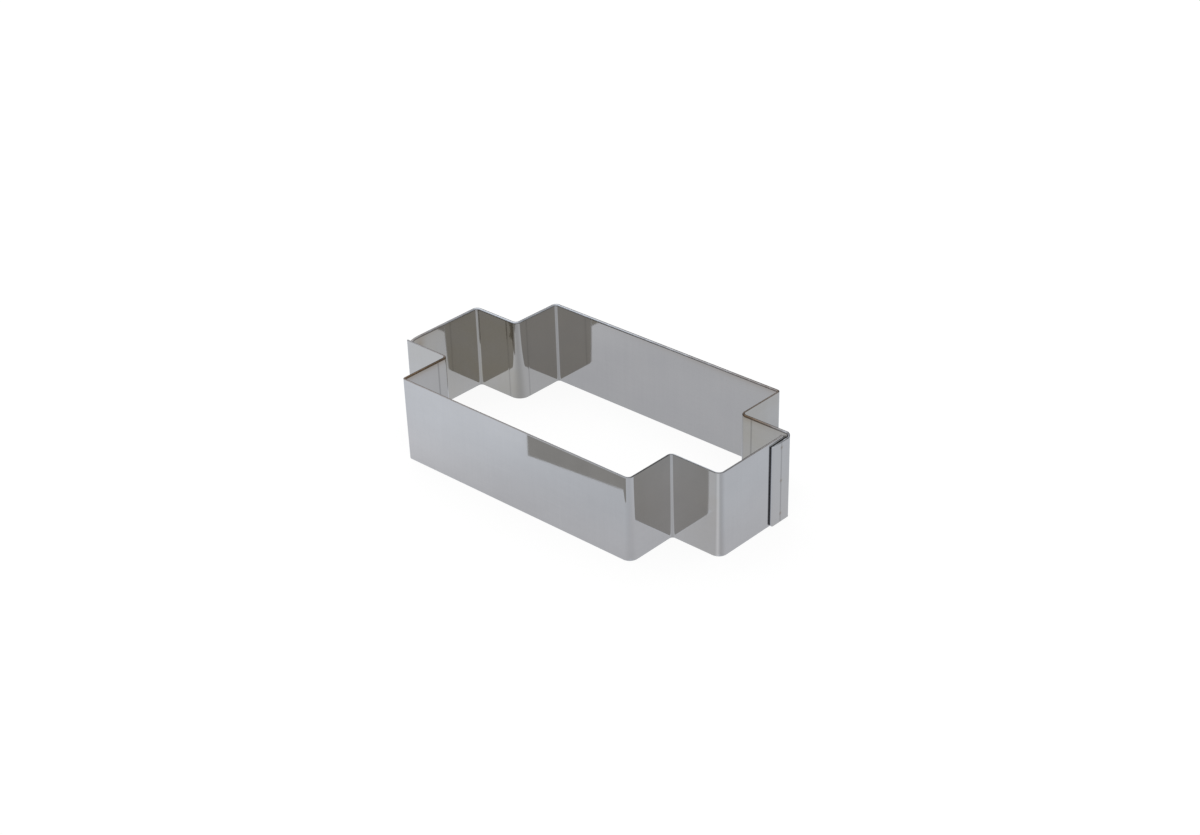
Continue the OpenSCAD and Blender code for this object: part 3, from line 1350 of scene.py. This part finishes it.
@dataclass(frozen=True)
class StudioFloor:
    """Plain pale floor that shows white, keeps the object's shadow and is warmer close to the object.

    Its own sizes are in metres.
    """

    sizes: StripSizes
    reach: float = 4.0
    drop: float = 0.00002
    # Own light and paper as the camera and as reflections see them, and the paper that lights the object
    camera_glow: float = 0.89
    camera_paper: float = 0.15
    mirror_glow: float = 0.68
    mirror_paper: float = 0.10
    plain_paper: float = 0.8
    within: Colour = (0.965, 1.028, 1.175)
    near: Colour = (0.965, 1.0, 1.105)
    far: Colour = (0.950, 1.01, 1.135)
    fade: float = 0.022
    inside: float = 1.072
    # Softness of the line at the ring's foot, inside it and outside
    inner_line: float = 0.0005
    outer_line: float = 0.002
    notch_shade: float = 0.015
    # The floor is brighter to the front left, from one distance that way to another
    bright_side: float = 0.22
    bright_way: Plan = (-0.8, -0.6)
    bright_span: Span = (0.014, 0.072)
    # Reflections show the floor darker behind the ring
    shade_behind: float = 0.45
    behind_half_length: float = 0.035
    behind_line: float = 0.001
    behind_span: Span = (0.036, 0.004)

    def build(self) -> bpy.types.Object:
        """Makes the floor.

        Returns:
            The floor.
        """
        mesh = bpy.data.meshes.new("studio_floor")
        corners = ((-1, -1), (1, -1), (1, 1), (-1, 1))
        points = [(x * self.reach, y * self.reach, -self.drop) for x, y in corners]
        mesh.from_pydata(points, [], [(0, 1, 2, 3)])
        floor = new_object("studio_floor", mesh)
        mesh.materials.append(self._material())
        return floor

    def _inside(self, graph: Graph, x: Wire, y: Wire, half_length: float, half_width: float) -> Wire:
        """One inside a rectangle around the origin, with its half sizes in millimetres, and zero outside."""
        past = (x.size() - half_length * MM).higher(y.size() - half_width * MM)
        return graph.step(past, self.inner_line, -self.inner_line)

    def _material(self) -> bpy.types.Material:
        """Paper that glows only for the camera and for reflections.

        Returns:
            The material.
        """
        sizes = self.sizes
        half_length, half_width = sizes.end_face * MM, sizes.side_face * MM
        material, graph = new_material("studio_paper")
        camera, mirrored = graph.viewers()
        place = graph.add("ShaderNodeNewGeometry", output="Position")
        x = graph.add("ShaderNodeSeparateXYZ", values={0: place}, output=0)
        y = graph.add("ShaderNodeSeparateXYZ", values={0: place}, output=1)
        past_x = (x.size() - half_length).higher(0.0)
        past_y = (y.size() - half_width).higher(0.0)
        away = (past_x * past_x + past_y * past_y) ** 0.5
        long_arm = self._inside(graph, x, y, sizes.end_face, sizes.notch_face)
        wide_arm = self._inside(graph, x, y, sizes.end_face - sizes.notch_length, sizes.side_face)
        ring = long_arm.higher(wide_arm)
        notch = (1.0 - graph.step(away, 0.0, self.outer_line)) * (1.0 - ring)
        tint = graph.mix(graph.step(away, 0.0, self.fade), self.near, self.far)
        tint = graph.mix(mirrored, (1.0, 1.0, 1.0), graph.mix(ring, tint, self.within))
        to_bright = x * self.bright_way[0] + y * self.bright_way[1]
        lift = graph.step(to_bright, *self.bright_span) * self.bright_side
        past_end = (x.size() - self.behind_half_length).higher(0.0)
        from_wall = (past_end ** 2.0 + (y - half_width) ** 2.0) ** 0.5
        behind = graph.step(y, half_width - self.behind_line, half_width + self.behind_line)
        behind = behind * graph.step(from_wall, *self.behind_span)
        level = 1.0 + (self.inside - 1.0) * ring - self.notch_shade * notch + lift
        level = level * (1.0 - self.shade_behind * behind)
        plain = 1.0 - camera.higher(mirrored)
        paper = camera * self.camera_paper + mirrored * level * self.mirror_paper + plain * self.plain_paper
        glow = camera * self.camera_glow + mirrored * level * self.mirror_glow
        diffuse = graph.add("ShaderNodeBsdfDiffuse", values={"Color": graph.scaled(tint, paper)})
        emission = graph.add("ShaderNodeEmission", values={"Color": tint, "Strength": glow})
        both = graph.add("ShaderNodeAddShader", values={0: diffuse, 1: emission})
        graph.add("ShaderNodeOutputMaterial", values={"Surface": both})
        return material


@dataclass(frozen=True)
class ReflectionCard:
    """Low grey card in front of the object, seen only in reflections. Its sizes are in millimetres."""

    left: Plan = (-16.8, -52.0)
    right: Plan = (40.0, -58.0)
    left_height: float = 8.8
    right_height: float = 11.1
    tone: Colour = (0.375, 0.378, 0.385)
    mottle: float = 0.2
    mottle_scale: float = 130.0
    mottle_detail: float = 3.0

    def build(self) -> bpy.types.Object:
        """Makes the card.

        Returns:
            The card.
        """
        mesh = bpy.data.meshes.new("reflection_card")
        lower = [(*self.left, 0.0), (*self.right, 0.0)]
        upper = [(*self.right, self.right_height), (*self.left, self.left_height)]
        mesh.from_pydata([Vector(corner) * MM for corner in lower + upper], [], [(0, 1, 2, 3)])
        card = new_object("reflection_card", mesh)
        card.visible_camera = False
        card.visible_diffuse = False
        card.visible_shadow = False
        mesh.materials.append(self._material())
        return card

    def _material(self) -> bpy.types.Material:
        """Card that is a little uneven in tone.

        Returns:
            The material.
        """
        material, graph = new_material("grey_card")
        place = graph.add("ShaderNodeTexCoord", output="Object")
        level = 1.0 + graph.noise(place, self.mottle_scale, self.mottle_detail).swing(self.mottle)
        glow = graph.add("ShaderNodeEmission", values={"Color": self.tone, "Strength": level})
        graph.add("ShaderNodeOutputMaterial", values={"Surface": glow})
        return material


@dataclass(frozen=True)
class SoftBox:
    """One broad soft lamp that faces the object. Its place and side are in metres."""

    name: str
    place: Place
    side: float
    power: float

    def build(self) -> bpy.types.Object:
        """Makes the lamp.

        Returns:
            The lamp.
        """
        data = bpy.data.lights.new(self.name, "AREA")
        data.shape = "SQUARE"
        data.size = self.side
        data.energy = self.power
        lamp = new_object(self.name, data)
        lamp.location = self.place
        lamp.rotation_euler = (-Vector(self.place)).to_track_quat("-Z", "Y").to_euler()
        lamp.visible_camera = False
        return lamp


@dataclass(frozen=True)
class StudioRoom:
    """White surroundings, which the camera and reflections see as they are, and their soft light."""

    fill: float = 0.62
    shown: Colour = (1.0, 1.0, 1.0)
    mirrored: Colour = (0.86, 0.89, 0.93)

    def build(self) -> bpy.types.World:
        """Makes the scene's world.

        Returns:
            The world.
        """
        world = bpy.data.worlds.new("studio_room")
        world.use_nodes = True
        bpy.context.scene.world = world
        graph = Graph(world.node_tree)
        camera, mirrored = graph.viewers()
        colour = graph.mix(mirrored, self.shown, self.mirrored)
        strength = self.fill + (1.0 - self.fill) * camera.higher(mirrored)
        back = graph.add("ShaderNodeBackground", values={"Color": colour, "Strength": strength})
        graph.add("ShaderNodeOutputWorld", values={"Surface": back})
        return world


def set_view() -> None:
    """Shows colours as they are written."""
    bpy.context.scene.view_settings.view_transform = "Standard"


def main() -> None:
    """Builds the two half strips, their welds and the studio in order, and reports each."""
    logging.basicConfig(level=logging.INFO, format="%(name)s: %(message)s")
    set_view()
    sizes = StripSizes.from_frame("back_strip")
    steel = StripSteel().material()
    weld = WeldMetal().material()
    builders = (
        PhotoCamera(),
        back_strip(sizes, steel),
        front_strip(sizes, steel),
        SpotWelds("right_seam_welds", weld),
        SpotWelds("left_seam_welds", weld),
        StudioFloor(sizes),
        StudioRoom(),
        ReflectionCard(),
        SoftBox("key_box", place=(-0.75, 0.35, 1.15), side=1.1, power=5.2),
        SoftBox("fill_box", place=(0.85, -0.65, 1.05), side=1.1, power=2.6),
    )
    for builder in builders:
        LOG.info("%s: %s", type(builder).__name__, builder.build().name)


if __name__ == "__main__":
    main()
